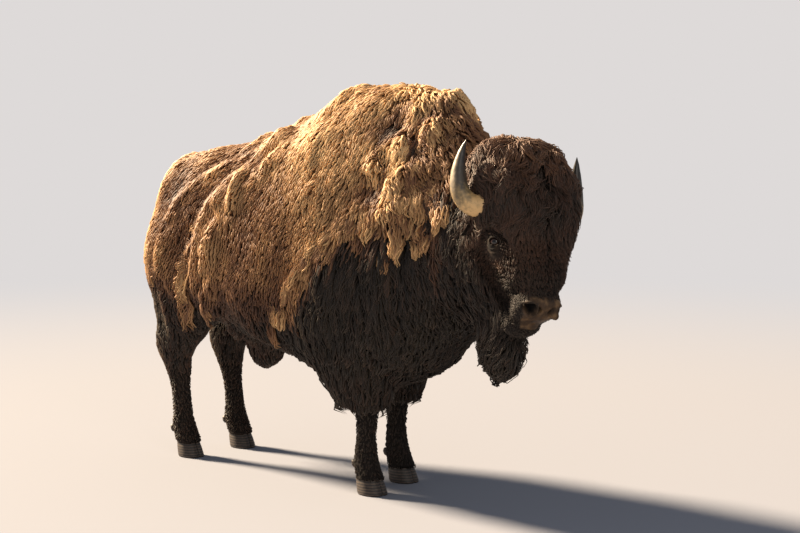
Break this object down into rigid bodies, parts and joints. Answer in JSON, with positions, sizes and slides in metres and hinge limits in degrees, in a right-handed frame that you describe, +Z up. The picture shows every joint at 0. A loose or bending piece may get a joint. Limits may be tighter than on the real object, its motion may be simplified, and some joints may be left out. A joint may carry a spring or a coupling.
{
  "type": "american bison",
  "caption": "Still, life-size bull American bison standing at ease, with a high shaggy hump, a lowered bearded head turned to its right, and short curved horns.",
  "frame": {"origin": "on the ground under the middle of the outline's box", "axes": "+X forwards, towards the head, +Y to the animal's left, +Z up"},
  "size_m": [2.6772, 0.8182, 1.8255],
  "materials": {
    "tawny_wool": "golden-brown crimped winter wool of the back, flanks and cape",
    "umber_coat": "dark brown coat of the neck and legs",
    "sable_hair": "brown-black long hair of the head, beard, forelegs and tail's end",
    "bare_skin": "dark skin under the coat, bare and moist on the nose",
    "horn_keratin": "weathered horn, tan at the root and grey-black at the tip",
    "hoof_keratin": "worn dark hoof",
    "eye_cornea": "wet dark eye"
  },
  "bodies": {
    "root": {"barrel": "tawny_wool", "beard": "sable_hair", "ear_left": "umber_coat", "ear_right": "umber_coat", "eye_left": "eye_cornea", "eye_right": "eye_cornea", "fore_dewclaw_inner_left": "hoof_keratin", "fore_dewclaw_inner_right": "hoof_keratin", "fore_dewclaw_outer_left": "hoof_keratin", "fore_dewclaw_outer_right": "hoof_keratin", "fore_hoof_inner_left": "hoof_keratin", "fore_hoof_inner_right": "hoof_keratin", "fore_hoof_outer_left": "hoof_keratin", "fore_hoof_outer_right": "hoof_keratin", "foreleg_lower_left": "umber_coat", "foreleg_lower_right": "umber_coat", "foreleg_upper_left": "sable_hair", "foreleg_upper_right": "sable_hair", "head": "sable_hair", "hind_dewclaw_inner_left": "hoof_keratin", "hind_dewclaw_inner_right": "hoof_keratin", "hind_dewclaw_outer_left": "hoof_keratin", "hind_dewclaw_outer_right": "hoof_keratin", "hind_hoof_inner_left": "hoof_keratin", "hind_hoof_inner_right": "hoof_keratin", "hind_hoof_outer_left": "hoof_keratin", "hind_hoof_outer_right": "hoof_keratin", "hindleg_lower_left": "umber_coat", "hindleg_lower_right": "umber_coat", "hindleg_upper_left": "umber_coat", "hindleg_upper_right": "umber_coat", "horn_left": "horn_keratin", "horn_right": "horn_keratin", "lower_jaw": "sable_hair", "neck": "umber_coat", "rump": "tawny_wool", "shoulders": "tawny_wool", "tail": "umber_coat", "tail_switch": "sable_hair"}
  },
  "joints": []
}
